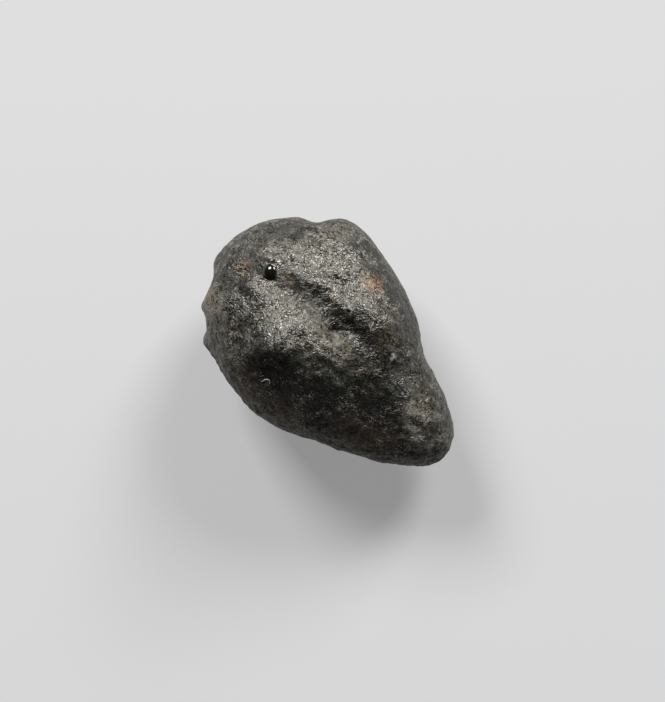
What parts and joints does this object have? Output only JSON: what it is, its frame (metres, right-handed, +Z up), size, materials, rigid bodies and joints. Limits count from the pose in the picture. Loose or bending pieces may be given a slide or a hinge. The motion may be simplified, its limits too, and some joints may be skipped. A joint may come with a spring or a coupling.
{
  "type": "chondrite meteorite",
  "caption": "Small teardrop-shaped stone meteorite in a dark wrinkled fusion crust, resting on a small flat spot.",
  "frame": {"origin": "under the middle of the stone's bounding box, on the plane of its flat resting spot", "axes": "+X along the stone's long axis towards the snout, +Y to its left, +Z up from the flat resting spot"},
  "size_m": [0.0076, 0.0052, 0.0043],
  "materials": {
    "fusion_crust": "satin"
  },
  "bodies": {
    "root": {"stone": "fusion_crust"}
  },
  "joints": []
}
